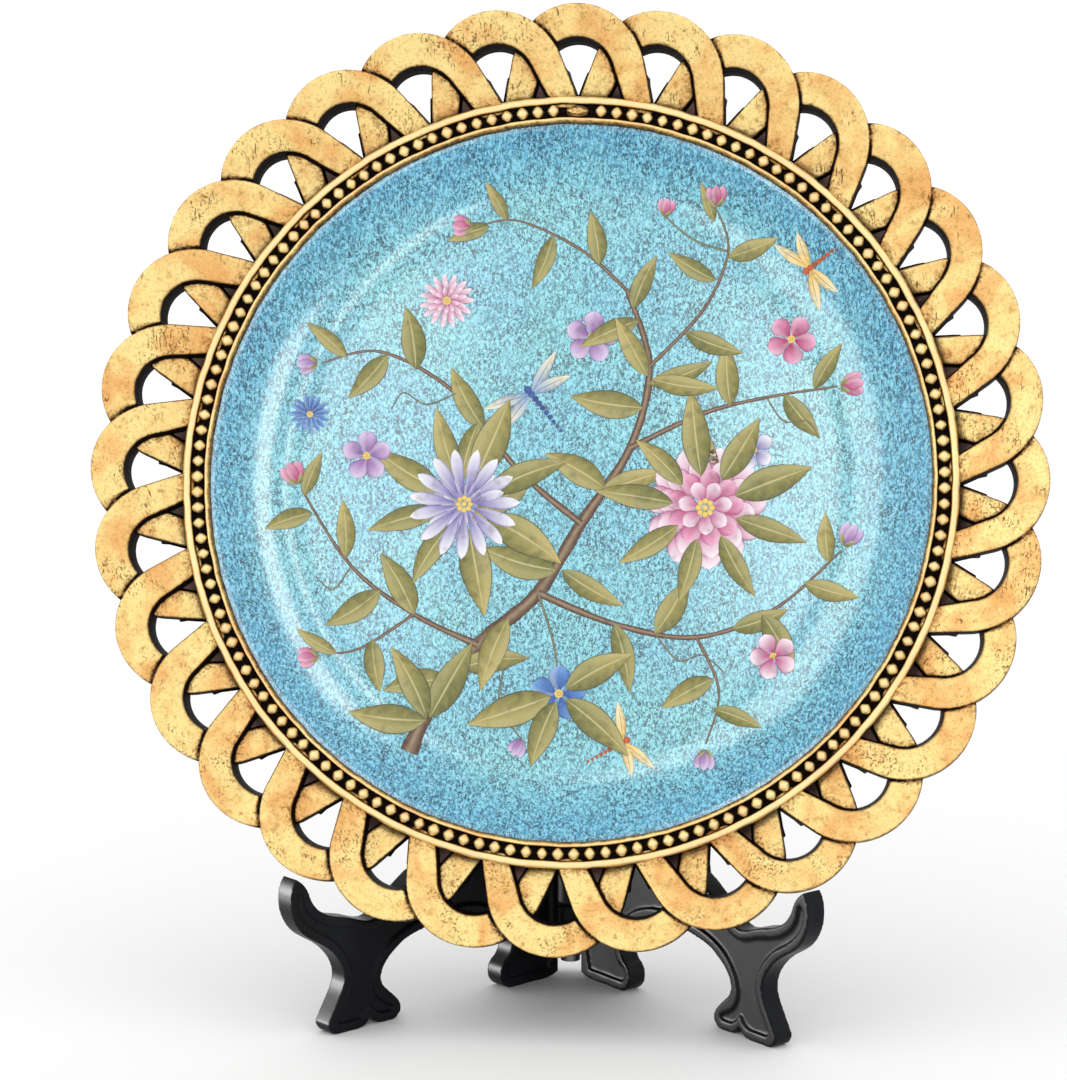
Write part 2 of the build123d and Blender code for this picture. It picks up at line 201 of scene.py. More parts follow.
WELL_EDGE = 119
OVER_WELL = 30
BESIDE_AXIS = 0.2
dish_mesh = nodes["glazed_dish"].data
dish_tree = BVHTree.FromPolygons([v.co for v in dish_mesh.vertices], [p.vertices for p in dish_mesh.polygons])
well_profile = []
for step in range(WELL_EDGE + 2):
    hit = dish_tree.ray_cast(on_plate(BESIDE_AXIS, -step, OVER_WELL), -FACING)[0]
    well_profile.append((hit - PLATE_CENTRE).dot(FACING) * 1000)


def well_height(x, u):
    """Height of the glaze at a point of the plate's face, in millimetres."""
    r = min(math.hypot(x, u), WELL_EDGE)
    low = int(r)
    return well_profile[low] + (well_profile[low + 1] - well_profile[low]) * (r - low)


PAINT_LIFT = 0.05
LAYER_LIFT = 0.0022
LAYERS = 100
PAINT_ROOT = -0.15


class Strokes:
    """Collects brush strokes as thin closed pads lying on the glaze, with a colour at each point."""

    def __init__(self):
        self.points = []
        self.faces = []
        self.colours = []
        self.layer = 0

    def pad(self, rows, shades):
        """rows is a grid of (x, u) points, shades a grid of colours of the same size."""
        self.layer += 1
        lift = PAINT_LIFT + LAYER_LIFT * (self.layer % LAYERS)
        high, wide = len(rows), len(rows[0])
        first = len(self.points)
        for rise in (lift, PAINT_ROOT):
            for row, tones in zip(rows, shades):
                for (x, u), tone in zip(row, tones):
                    self.points.append(on_plate(x, u, well_height(x, u) + rise))
                    self.colours.append(tone)

        def corner(i, j, under):
            return first + i * wide + j + (high * wide if under else 0)

        for i in range(high - 1):
            for j in range(wide - 1):
                square = ((i, j), (i, j + 1), (i + 1, j + 1), (i + 1, j))
                self.faces.append([corner(m, n, False) for m, n in square])
                self.faces.append([corner(m, n, True) for m, n in reversed(square)])
        border = [(0, j) for j in range(wide)] + [(i, wide - 1) for i in range(1, high)]
        border += [(high - 1, j) for j in range(wide - 2, -1, -1)] + [(i, 0) for i in range(high - 2, 0, -1)]
        for (i, j), (m, n) in zip(border, border[1:] + border[:1]):
            self.faces.append([corner(i, j, True), corner(m, n, True),
                               corner(m, n, False), corner(i, j, False)])


def toned(first, second, share):
    return tuple(a + (b - a) * share for a, b in zip(first, second))


SPAN_STEPS = 8


def smooth_path(points):
    """Points of a smooth curve through the given points."""
    ends = [points[0]] + list(points) + [points[-1]]
    path = []
    for span in zip(ends, ends[1:], ends[2:], ends[3:]):
        for k in range(SPAN_STEPS):
            t = k / SPAN_STEPS
            path.append(tuple(
                0.5 * (2 * q + (r - p) * t + (2 * p - 5 * q + 4 * r - s) * t * t
                       + (3 * q - p - 3 * r + s) * t ** 3)
                for p, q, r, s in zip(*span)))
    path.append(tuple(points[-1]))
    return path


strokes = Strokes()
hand = random.Random(7)
TWIG_SECTION = (-1, -0.55, 0.1, 0.6, 1)
TWIG_SHADE = (0.03, 0.02, 0.015)
TWIG_LIGHT = (0.62, 0.46, 0.30)
KNOTS = 0.13


def twig(points, start_width, end_width, tone):
    """Branch or stalk: dark at its sides, lighter along its middle; a stout one has small knots."""
    path = smooth_path(points)
    rows, shades = [], []
    for k, (x, u) in enumerate(path):
        ahead = path[min(k + 1, len(path) - 1)]
        back = path[max(k - 1, 0)]
        dx, du = ahead[0] - back[0], ahead[1] - back[1]
        size = math.hypot(dx, du) or 1
        along = k / (len(path) - 1)
        knot = 1 + KNOTS * hand.uniform(-1, 1) * (start_width > 1)
        width = (start_width + (end_width - start_width) * along) * knot
        side = (-du / size * width / 2, dx / size * width / 2)
        rows.append([(x + side[0] * s, u + side[1] * s) for s in TWIG_SECTION])
        dark = toned(tone, TWIG_SHADE, 0.6)
        pale = toned(tone, TWIG_LIGHT, 0.35 + 0.15 * hand.random())
        shades.append([dark, tone, pale, tone, dark])
    strokes.pad(rows, shades)


BLADE_STEPS = 13
BLADE_SECTION = (-1, -0.9, -0.55, -0.1, 0, 0.1, 0.55, 0.9, 1)
BLADE_TIP = 0.02
LEAF_LIGHT = (0.80, 0.70, 0.38)
LEAF_SHADE = (0.04, 0.05, 0.012)
PETAL_LIGHT = (1, 1, 1)


def blade(x, u, angle, length, width, bend, base, tip, edge, fullness=0.85, vein=None):
    """Leaf (with a vein) or petal growing from (x, u); bend curls its middle line."""
    blunt = 0.9 if vein else 0.6
    rows, shades = [], []
    px, pu = x, u
    for k in range(BLADE_STEPS):
        t = k / (BLADE_STEPS - 1)
        heading = math.radians(angle + bend * (t - 0.5))
        half = width * BLADE_TIP
        if k:
            px += math.cos(heading) * length / (BLADE_STEPS - 1)
            pu += math.sin(heading) * length / (BLADE_STEPS - 1)
        if 0 < k < BLADE_STEPS - 1:
            half = width / 2 * math.sin(math.pi * t ** fullness) ** blunt
        rows.append([(px - math.sin(heading) * half * s, pu + math.cos(heading) * half * s)
                     for s in BLADE_SECTION])
        if vein:
            body = toned(base, tip, t)
            lit = toned(body, LEAF_LIGHT, 0.22)
            shade = toned(body, LEAF_SHADE, 0.42)
            ribbed = toned(shade, body, 0.5 + 0.5 * math.sin(k * 2.6))
        else:
            body = ribbed = toned(base, tip, t ** 1.4)
            lit = toned(body, PETAL_LIGHT, 0.2)
            shade = toned(body, base, 0.45)
        shades.append([edge, shade, ribbed, body, vein or body, body, lit, lit, edge])
    strokes.pad(rows, shades)


OLIVE = (0.15, 0.165, 0.04)
GOLD_GREEN = (0.46, 0.38, 0.12)
LEAF_EDGE = (0.035, 0.040, 0.012)
LEAF_VEIN = (0.62, 0.55, 0.30)
BARK = (0.13, 0.065, 0.040)
STALK = (0.12, 0.13, 0.06)


def foliage(x, u, angle, length, bend):
    base = toned(OLIVE, GOLD_GREEN, hand.uniform(0.0, 0.5))
    tip = toned(OLIVE, GOLD_GREEN, hand.uniform(0.5, 1.15))
    blade(x, u, angle, length, length * hand.uniform(0.30, 0.40), bend, base, tip, LEAF_EDGE, 0.80, LEAF_VEIN)


DOT_RINGS = (0.05, 0.6, 1)
DOT_EDGE = (0.1, 0.05, 0.05)


def dot(x, u, size, tone):
    ring = [(math.cos(math.radians(a)) * size, math.sin(math.radians(a)) * size) for a in range(0, 361, 45)]
    rows = [[(x + rx * s, u + ru * s) for rx, ru in ring] for s in DOT_RINGS]
    rim = toned(tone, DOT_EDGE, 0.5)
    strokes.pad(rows, [[shade] * len(ring) for shade in (tone, tone, rim)])


# petal colours: base, tip, edge
PINK = ((0.40, 0.015, 0.13), (0.86, 0.42, 0.60), (0.26, 0.01, 0.09))
PINK_PALE = ((0.46, 0.03, 0.20), (0.98, 0.86, 0.92), (0.32, 0.02, 0.14))
WHITE = ((0.17, 0.13, 0.42), (0.96, 0.95, 0.98), (0.15, 0.12, 0.34))
LILAC = ((0.25, 0.09, 0.34), (0.72, 0.56, 0.80), (0.16, 0.06, 0.24))
BLUE = ((0.03, 0.10, 0.36), (0.16, 0.36, 0.72), (0.015, 0.04, 0.18))
AMBER = ((0.60, 0.11, 0.02), (0.92, 0.56, 0.10), (0.28, 0.07, 0.02))
HEART = (0.86, 0.62, 0.16)
HEART_RING = 0.11
HEART_DOT = 0.045
HEART_LEAST = 0.12
PETAL_FULLNESS = 1.55


def blossom(x, u, size, rings, turn):
    """Flower: rings of petals from the outside in, then dots for its heart."""
    for count, start, length, width, base, tip, edge in rings:
        for k in range(count):
            angle = turn + 360 * k / count + hand.uniform(-3, 3)
            turned = math.radians(angle)
            blade(x + math.cos(turned) * start * size, u + math.sin(turned) * start * size, angle,
                  length * size, width * size, hand.uniform(-8, 8), base, tip, edge, PETAL_FULLNESS)
        turn += 180 / count
    for k in range(9):
        out = HEART_RING * size * (k > 0)
        turned = math.radians(45 * k)
        dot(x + out * math.cos(turned), u + out * math.sin(turned), HEART_DOT * size + HEART_LEAST, HEART)


# a ring of petals: how many, where they start, their length and width as shares of the size
def double_rose(x, u, size, turn):
    rings = [(11, 0.34, 0.66, 0.46) + PINK_PALE, (10, 0.26, 0.56, 0.40) + PINK_PALE,
             (9, 0.17, 0.46, 0.33) + PINK, (7, 0.08, 0.36, 0.27) + PINK_PALE]
    blossom(x, u, size, rings, turn)


def daisy(x, u, size, tones, turn):
    rings = [(15, 0.18, 0.82, 0.23) + tones, (13, 0.12, 0.62, 0.20) + tones, (9, 0.06, 0.40, 0.18) + tones]
    blossom(x, u, size, rings, turn)


def five_petals(x, u, size, tones, turn):
    blossom(x, u, size, [(5, 0.08, 0.92, 0.78) + tones], turn)


def bud(x, u, angle, size, tones):
    for lean in (-22, 22, 0):
        blade(x, u, angle + lean, size, size * 0.5, -lean, *tones, 1.2)
    for lean in (-40, 40):
        blade(x, u, angle + lean, size * 0.5, size * 0.2, -lean, OLIVE, GOLD_GREEN, LEAF_EDGE)


WING_TIP = (0.95, 0.88, 0.62)
WING_VEIN = (0.10, 0.05, 0.02)
TAIL_SHADE = (0.05, 0.05, 0.05)
TAIL_JOINTS = 9


def dragonfly(x, u, heading, size, tones):
    """Four veined wings, a jointed tail and a head."""
    body, wing, edge = tones
    back = math.radians(heading + 180)
    for lean, reach in ((68, 1.0), (-68, 1.0), (103, 0.86), (-103, 0.86)):
        blade(x, u, heading + lean, size * reach, size * 0.24, lean * 0.12, wing, WING_TIP, edge,
              0.95, WING_VEIN)
    for k in range(TAIL_JOINTS):
        share = k / (TAIL_JOINTS - 1)
        dot(x + math.cos(back) * size * 0.95 * share, u + math.sin(back) * size * 0.95 * share,
            size * (0.075 - 0.04 * share), toned(body, TAIL_SHADE, 0.3 * (k % 2)))
    front = math.radians(heading)
    dot(x + math.cos(front) * size * 0.12, u + math.sin(front) * size * 0.12, size * 0.085, body)


# the main branch climbs from the lower left; side branches leave it on both sides
twig([(-52, -93), (-45, -76), (-30, -56), (-10, -38), (4, -14), (20, 12), (26, 40), (18, 66)], 6.2, 1.8, BARK)
twig([(-30, -56), (-52, -46), (-74, -30), (-92, -4)], 2.4, 0.7, BARK)
twig([(-10, -38), (16, -48), (44, -52), (70, -42), (92, -22)], 2.6, 0.7, BARK)
twig([(20, 12), (44, 24), (66, 30), (90, 34)], 2.2, 0.6, BARK)
twig([(4, -14), (-18, 4), (-40, 30), (-66, 44), (-86, 40)], 2.4, 0.6, BARK)
twig([(26, 40), (44, 60), (52, 80), (48, 94)], 1.5, 0.5, BARK)
twig([(18, 66), (2, 80), (-20, 90), (-34, 88)], 1.4, 0.5, BARK)
twig([(44, -52), (52, -70), (48, -88)], 1.2, 0.5, BARK)
twig([(-52, -46), (-70, -58), (-82, -60)], 1.2, 0.5, BARK)

# leaves on the branches: where each grows, its heading, length and bend
for x, u, angle, length, bend in (
        (-40, -68, 190, 22, 20), (-36, -64, 10, 24, -18), (-20, -47, 250, 26, 16), (-4, -30, 165, 27, -22),
        (-2, -30, 330, 24, 14), (10, -4, 20, 25, -14), (12, -2, 150, 24, 16), (24, 26, 172, 25, -14),
        (26, 34, 20, 23, 18), (22, 56, 205, 22, 12), (20, 60, 68, 20, -16), (-52, -46, 120, 24, 16),
        (-64, -38, 215, 22, -20), (-76, -27, 95, 20, 14), (-88, -12, 200, 17, 18), (-91, -6, 70, 16, -12),
        (16, -48, 285, 24, -18), (30, -51, 60, 22, 16), (56, -49, 20, 20, 14), (66, -44, 300, 22, -16),
        (80, -33, 345, 19, 12), (88, -26, 95, 17, -14), (40, 22, 300, 22, 18), (54, 27, 95, 22, -16),
        (72, 31, 310, 19, 14), (82, 33, 60, 18, -12), (-14, 0, 215, 24, 14), (-30, 18, 120, 24, -16),
        (-32, 20, 255, 22, 18), (-54, 38, 100, 22, 16), (-64, 43, 230, 20, -14), (-78, 42, 140, 18, 12),
        (38, 52, 340, 21, 16), (48, 70, 150, 19, -14), (52, 78, 20, 18, 12), (8, 75, 100, 19, 14),
        (-8, 85, 250, 20, -16), (-24, 90, 120, 15, 12), (50, -66, 210, 20, 14), (50, -76, 340, 18, -12),
        (-66, -55, 280, 18, 14), (-78, -60, 150, 16, -12), (-30, 88, 200, 15, 10), (47, 90, 110, 14, 10)):
    foliage(x, u, angle, length, bend)

# tendrils
for path in ([(30, -51), (38, -60), (46, -58), (54, -64)], [(-74, -30), (-80, -38), (-86, -34)],
             [(66, 30), (72, 22), (80, 22), (84, 16)], [(-40, 30), (-50, 26), (-58, 30), (-62, 24)]):
    twig(path, 0.55, 0.35, STALK)

# tufts of leaves round the large flowers and at the branch's foot: centre, distance, headings
for x, u, reach, turns in (
        (-36, -8, 9, (150, 196, 238, 282, 330, 24, 68, 108)),
        (46, -8, 11, (172, 214, 256, 300, 342, 22, 60, 98, 136)),
        (-46, -82, 1, (62, 118, 176)), (26, 36, 1, (120, 352)), (-2, -72, 3, (200, 250, 320, 30))):
    for turn in turns:
        lean = math.radians(turn)
        foliage(x + math.cos(lean) * reach, u + math.sin(lean) * reach, turn, hand.uniform(22, 30),
                hand.uniform(-22, 22))
daisy(-36, -8, 19, WHITE, 5)
double_rose(46, -8, 21, 10)
five_petals(-70, 8, 8.5, LILAC, 20)
five_petals(70, -58, 8, PINK_PALE, 40)
five_petals(6, 50, 9, LILAC, 10)
five_petals(74, 50, 8.5, PINK, 60)
five_petals(-2, -72, 9.5, BLUE, 15)
daisy(-44, 62, 9.5, PINK_PALE, 0)
daisy(-90, 22, 7, BLUE, 12)
five_petals(62, 12, 7, WHITE, 35)
for x, u, angle, size, tones in (
        (-93, -2, 120, 8, PINK), (93, -20, 60, 8, LILAC), (91, 34, 10, 8, PINK), (-88, 40, 190, 7, LILAC),
        (48, 95, 95, 7, PINK), (-36, 88, 180, 7, PINK), (48, -90, 265, 7, LILAC), (-84, -61, 190, 7, PINK),
        (30, 92, 80, 6, PINK), (-14, -88, 240, 6, LILAC)):
    bud(x, u, angle, size, tones)
twig([(52, 80), (40, 84), (30, 92)], 0.8, 0.5, STALK)
twig([(-20, -60), (-22, -76), (-14, -88)], 0.8, 0.5, STALK)
twig([(-10, -38), (-4, -56), (-2, -72)], 0.9, 0.5, STALK)
dragonfly(-14, 30, 130, 17, BLUE)
dragonfly(20, -88, 30, 14, AMBER)
dragonfly(80, 74, 215, 15, AMBER)


def placed(name, data):
    """New object in the scene that holds a mesh, a light or a camera."""
    made = bpy.data.objects.new(name, data)
    bpy.context.collection.objects.link(made)
    return made


painting_mesh = bpy.data.meshes.new("painted_branches")
painting_mesh.from_pydata(strokes.points, [], strokes.faces)
tones = painting_mesh.color_attributes.new("tone", "FLOAT_COLOR", "POINT")
for item, tone in zip(tones.data, strokes.colours):
    item.color = (*tone, 1)
painting = placed("painted_branches", painting_mesh)

WORN = (0.55, 0.62, 0.52, 1)
DUSK = (0.04, 0.04, 0.03, 1)
enamel, tree, shader = material("painted_enamel", Roughness=0.5, IOR=1.3,
                                Coat_Weight=0.3, Coat_Roughness=0.15)
place = object_place(tree)
tone = put(tree, "ShaderNodeVertexColor", layer_name="tone").outputs["Color"]
brushed = noise(tree, place, 700.0, 3.0, 0.6)
worn = mixed(tree, stepped(tree, brushed, 0.35, 0.75, 0.0, 0.10), tone, WORN)
coloured(tree, shader, mixed(tree, stepped(tree, noise(tree, place, 240.0), 0.5, 0.8, 0.0, 0.35), worn, DUSK))
bumped(tree, shader, brushed, 0.12, 0.0002)
painting.data.materials.append(enamel)
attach(painting, "plate")


# ------------------------------------------------------------------ glue under the dish's edge
# A bead of cream-coloured epoxy, laid in the collar's ledge before the dish is set down on it. It
# cures hard and holds the dish in the rim for good.

GLUE_DARK = (0.60, 0.52, 0.36, 1)
GLUE_LIGHT = (0.76, 0.70, 0.54, 1)
glue, tree, shader = material("cured_glue", Roughness=0.55)
lumps = noise(tree, object_place(tree), 260.0, 3.0)
coloured(tree, shader, mixed(tree, lumps, GLUE_DARK, GLUE_LIGHT))
bumped(tree, shader, lumps, 0.3, 0.0004)
dress("dish_adhesive", glue)


# ------------------------------------------------------------------ collar
# A cast resin ring behind the feet of the loops, stained dark brown so that it drops out of sight
# between them; the gold was brushed over its neighbours and left a few traces on it.

STAIN_DARK = (0.040, 0.018, 0.016, 1)
STAIN_LIGHT = (0.20, 0.105, 0.082, 1)
GOLD_TRACE = (0.40, 0.24, 0.10, 1)
collar_stain, tree, shader = material("collar_stain")
place = object_place(tree)
blot = noise(tree, place, 120.0, 4.0, 0.6)
stain = mixed(tree, stepped(tree, blot, 0.3, 0.7), STAIN_DARK, STAIN_LIGHT)
traces = stepped(tree, noise(tree, place, 420.0, 3.0, 0.6), 0.64, 0.72, 0.0, 0.6)
coloured(tree, shader, mixed(tree, traces, stain, GOLD_TRACE), stepped(tree, blot, 0.3, 0.7, 0.42, 0.62))
bumped(tree, shader, noise(tree, place, 650.0, 3.0), 0.25, 0.0003)

# the collar's section: (radius, height)
COLLAR_PROFILE = ((117.5, -7.5), (126.0, -7.5), (126.0, -6.8), (137.0, -1.75), (137.0, -6.35),
                  (126.2, -12.1), (117.5, -12.1))
COLLAR_STEPS = 960
COLLAR_GAP_RADIUS = 132.4
COLLAR_WEB_RADIUS = 137.0
LOOPS = 32
RIM_SLOPE = 0.46
LEDGE_HEIGHT = -3
WEB_HALF = 0.40
WEB_FADE = 0.06


def clamped(share):
    return min(max(share, 0), 1)


def eased(share):
    return share * share * (3 - 2 * share)


def skin(first, rows, wide, closed=False, clockwise=False):
    """Faces between rows of points, each row a ring. A closed skin joins up, another gets end caps."""
    made = []
    for k in range(rows if closed else rows - 1):
        a, b = first + wide * k, first + wide * ((k + 1) % rows)
        for j in range(wide):
            n = (j + 1) % wide
            made.append((a + j, b + j, b + n, a + n) if clockwise else (a + j, a + n, b + n, b + j))
    if not closed:
        made.append([first + j for j in range(wide)][::-1])
        made.append([first + (rows - 1) * wide + j for j in range(wide)])
    return made


def webbed(turn, r, w):
    """The collar reaches out only behind the small blind gaps between two feet."""
    off = abs((turn / (2 * math.pi / LOOPS)) % 1 - 0.5)
    web = eased(clamped((WEB_HALF - off) / WEB_FADE))
    limit = COLLAR_GAP_RADIUS + (COLLAR_WEB_RADIUS - COLLAR_GAP_RADIUS) * web
    if r > limit:
        w -= (r - limit) * (RIM_SLOPE if w > LEDGE_HEIGHT else 0)
        r = limit
    return r, w


points = []
for k in range(COLLAR_STEPS):
    turn = 2 * math.pi * k / COLLAR_STEPS
    for corner in COLLAR_PROFILE:
        r, w = webbed(turn, *corner)
        points.append(on_plate(r * math.sin(turn), r * math.cos(turn), w))
faces = skin(0, COLLAR_STEPS, len(COLLAR_PROFILE), closed=True, clockwise=True)
collar_mesh = bpy.data.meshes.new("webbed_collar")
collar_mesh.from_pydata(points, [], faces)
collar_mesh.materials.append(collar_stain)
collar = placed("webbed_collar", collar_mesh)
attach(collar, "plate")
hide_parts("rim_collar")


# ------------------------------------------------------------------ openwork rim
# Thirty-two flat strands cast in one piece, each a round arch with two straight legs; every
# clockwise leg lies over its neighbour's arch. Laid with gold leaf; its walls and rounded edges are
# painted black-brown, partly a dark wash and partly painted shade.

STRAND_WIDTH = 10.6
FOOT_WIDTH = 8.6
ARCH_RADIUS = 18.0
ARCH_CENTRE = 137.1
ARCH_TURN = 75.0
HOOP_RADIUS = 126.4
RIM_START = 131.0
RIM_START_HEIGHT = 0.3
WALL_DEPTH = 7.9
FOOT_THICKNESS = 4.7
UNDER_DROP = 2.6


def rim_front(r):
    """Height of the flared front of the rim at a distance from the plate's axis."""
    return RIM_START_HEIGHT + (r - RIM_START) * RIM_SLOPE


LEG_TURN = math.radians(ARCH_TURN)
LEG_TOP = (ARCH_RADIUS * math.sin(LEG_TURN), ARCH_CENTRE + ARCH_RADIUS * math.cos(LEG_TURN))
LEG_OVERRUN = 1.6
LEG_RUN = (LEG_TOP[1] - HOOP_RADIUS) / math.sin(LEG_TURN) + LEG_OVERRUN
LEG_STEPS = 26
ARCH_STEPS = 84
# a strand dips under its neighbour gently, then fully: from which angle of the arch, over how many degrees
DIP = 0.9
DIP_FROM = -29.0
DIP_TURN = 9.5
DIVE_FROM = -38.5
DIVE_TURN = 12.0


def strand_width(share):
    """Width of a leg, where share runs from the arch to the foot."""
    return STRAND_WIDTH + (FOOT_WIDTH - STRAND_WIDTH) * share


def leg_point(side, share, drop):
    x = side * (LEG_TOP[0] + LEG_RUN * share * math.cos(LEG_TURN))
    u = LEG_TOP[1] - LEG_RUN * share * math.sin(LEG_TURN)
    return x, u, (side * math.sin(LEG_TURN), math.cos(LEG_TURN)), strand_width(share), drop


def strand_path():
    """Middle line of a loop, foot to foot clockwise: (x, u, across direction, width, drop)."""
    path = [leg_point(-1, 1 - k / LEG_STEPS, UNDER_DROP) for k in range(LEG_STEPS)]
    for k in range(ARCH_STEPS + 1):
        angle = -ARCH_TURN + 2 * ARCH_TURN * k / ARCH_STEPS
        across = (math.sin(math.radians(angle)), math.cos(math.radians(angle)))
        dip = clamped((DIP_FROM - angle) / DIP_TURN)
        dive = eased(clamped((DIVE_FROM - angle) / DIVE_TURN))
        drop = DIP * dip ** 2 + (UNDER_DROP - DIP) * dive
        path.append((ARCH_RADIUS * across[0], ARCH_CENTRE + ARCH_RADIUS * across[1], across,
                     STRAND_WIDTH, drop))
    path += [leg_point(1, k / LEG_STEPS, 0.0) for k in range(1, LEG_STEPS + 1)]
    return path


def swung(x, u, turn):
    """Point turned counter-clockwise about the plate's middle."""
    return (x * math.cos(turn) - u * math.sin(turn), x * math.sin(turn) + u * math.cos(turn))


def beside_neighbour(x, u):
    """How far a point lies outside the strand that passes over this loop's rear half."""
    x, u = swung(x, u, -2 * math.pi / LOOPS)
    if math.atan2(x, u - ARCH_CENTRE) < LEG_TURN:
        return abs(math.hypot(x, u - ARCH_CENTRE) - ARCH_RADIUS) - STRAND_WIDTH / 2
    down = (math.cos(LEG_TURN), -math.sin(LEG_TURN))
    along = (x - LEG_TOP[0]) * down[0] + (u - LEG_TOP[1]) * down[1]
    across = (x - LEG_TOP[0]) * -down[1] + (u - LEG_TOP[1]) * down[0]
    return abs(across) - strand_width(clamped(along / LEG_RUN)) / 2


# half of a strand's section, from its middle outwards: (share of the half width, extra, depth, stain)
# the stain darkens the rounded edge and the walls: partly dark wash, partly painted shade
FLAT = [(k / 7, -1.45 * k / 7, 0.04 * (k / 7) ** 2, 0.0) for k in range(8)]
ROUND = [(1.0, -0.90, 0.10, 0.0), (1.0, -0.52, 0.26, 0.10), (1.0, -0.22, 0.55, 0.45), (1.0, -0.06, 1.0, 0.95),
         (1.0, 0.0, 1.7, 1.0)]
DRAFT = [(1.0, 0.45, 4.4, 1.0), (1.0, 0.95, WALL_DEPTH, 1.0), (0.5, 0.95, WALL_DEPTH, 1.0)]
half_section = FLAT + ROUND + DRAFT
section = [(-share, -extra, depth, stain) for share, extra, depth, stain in reversed(half_section[1:])]
section += half_section

OUTER_DRAFT = 0.1
FOOT_END = 137.3
FOOT_FADE = 3.0
TIP_RADIUS = 160.0
TIP_FADE = 15.0
TIP_DROP = 0.15
GROOVE_AT = 0.25
GROOVE_HALF = 0.75
GROOVE_DEPTH = 0.35
NO_NEIGHBOUR = 9.0
CREASE_SHADE_FADE = 2.5
WORN_FROM = 146.0
WORN_FADE = 8.0

path = strand_path()
strand_points, strand_wash_and_shade = [], []
for x, u, across, width, drop in path:
    for share, extra, depth, stain in section:
        # the walls flare a little towards the back, except on the outside of the arch
        if share > 0 and extra > 0 and u > ARCH_CENTRE:
            extra *= OUTER_DRAFT
        near = math.hypot(x + across[0] * share * width / 2, u + across[1] * share * width / 2)
        deepest = FOOT_THICKNESS + (WALL_DEPTH - FOOT_THICKNESS) * clamped((near - FOOT_END) / FOOT_FADE)
        if depth > deepest:
            extra *= deepest / depth
        shift = share * width / 2 + extra
        px, pu = x + across[0] * shift, u + across[1] * shift
        r = math.hypot(px, pu)
        # where it passes under, it is sunk, with a groove beside the strand above;
        # painted shade and wash darken the groove and the strip beside that strand
        sunk = drop * min(max((TIP_RADIUS - r) / TIP_FADE, TIP_DROP), 1)
        beside = beside_neighbour(px, pu) if drop > 0.05 else NO_NEIGHBOUR
        groove = max(0.0, 1 - abs(beside - GROOVE_AT) / GROOVE_HALF)
        crease_shade_and_wash = 0.30 * math.exp(-max(beside, 0) / CREASE_SHADE_FADE)
        # painted shade and wash also darken the strands where they meet the hoop
        crease_shade_and_wash += 0.28 * math.exp(-max(r - RIM_START, 0) / CREASE_SHADE_FADE)
        low = rim_front(r) - min(sunk + GROOVE_DEPTH * groove + depth, deepest)
        strand_points.append((px, pu, low))
        worn = clamped((near - WORN_FROM) / WORN_FADE)
        strand_wash_and_shade.append(min(1.0, (stain + 0.8 * groove) * (1 - 0.5 * worn) + crease_shade_and_wash))

points, faces, wash_and_shade = [], [], []
for loop in range(LOOPS):
    faces += skin(len(points), len(path), len(section))
    turn = 2 * math.pi / LOOPS * loop
    points += [on_plate(*swung(px, pu, turn), low) for px, pu, low in strand_points]
    wash_and_shade += strand_wash_and_shade

# the hoop that the loops grow out of
HOOP_SECTION = ((HOOP_RADIUS - 0.1, -2.3), (RIM_START, -2.3), (RIM_START, -4.3), (HOOP_RADIUS - 0.1, -6.2))
HOOP_STEPS = 256
faces += skin(len(points), HOOP_STEPS, len(HOOP_SECTION), closed=True, clockwise=True)
for k in range(HOOP_STEPS):
    turn = 2 * math.pi * k / HOOP_STEPS
    points += [on_plate(r * math.cos(turn), r * math.sin(turn), w) for r, w in HOOP_SECTION]
    wash_and_shade += [1.0] * len(HOOP_SECTION)


def solid(name, points, faces, wash_and_shade):
    """Mesh object with a stain value at each point, which carries dark wash and painted shade."""
    mesh = bpy.data.meshes.new(name)
    mesh.from_pydata(points, [], faces)
    mesh.validate()
    mesh.attributes.new("stain", "FLOAT", "POINT").data.foreach_set("value", wash_and_shade)
    mesh.shade_smooth()
    return placed(name, mesh)


# gold leaf over red-brown size, antiqued: bright leaf, orange blotches, dark specks and scratches;
# the first input is 1 where the dark wash stands, together with painted shade on walls, edges and
# creases, and below 0 where the leaf was rubbed bright, on the beads with a painted highlight too
LEAF_BRIGHT = (0.96, 0.735, 0.30, 1)
LEAF_ORANGE = (0.83, 0.45, 0.155, 1)
LEAF_RUSSET = (0.52, 0.25, 0.07, 1)
LEAF_RUBBED_AND_HIGHLIGHT = (0.97, 0.80, 0.43, 1)
SCRATCH = (0.085, 0.028, 0.010, 1)
THIN_WASH_AND_SHADE = (0.30, 0.13, 0.035, 1)
THICK_WASH_AND_SHADE = (0.008, 0.005, 0.004, 1)

gilding, inside, outside = group("gilding",
                                 [("Wash_and_painted_shade", "NodeSocketFloat", 0.0), ("Grain", "NodeSocketFloat", 1.0)],
                                 [("Color", "NodeSocketColor"), ("Roughness", "NodeSocketFloat"),
                                  ("Metallic", "NodeSocketFloat"), ("Height", "NodeSocketFloat")])
place = object_place(gilding)
stain = inside.outputs["Wash_and_painted_shade"]
cloud = noise(gilding, place, 60.0, 5.0, 0.62, 0.5)
tufts = noise(gilding, place, 330.0, 4.0, 0.65)
patch = noise(gilding, place, 75.0, 3.0, 0.6)
crumbs = noise(gilding, place, 900.0, 2.0, 0.5)
leaf_tone = mixed(gilding, stepped(gilding, cloud, 0.38, 0.68), LEAF_BRIGHT, LEAF_ORANGE)
leaf_tone = mixed(gilding, stepped(gilding, tufts, 0.54, 0.74, 0.0, 0.6), leaf_tone, LEAF_RUSSET)

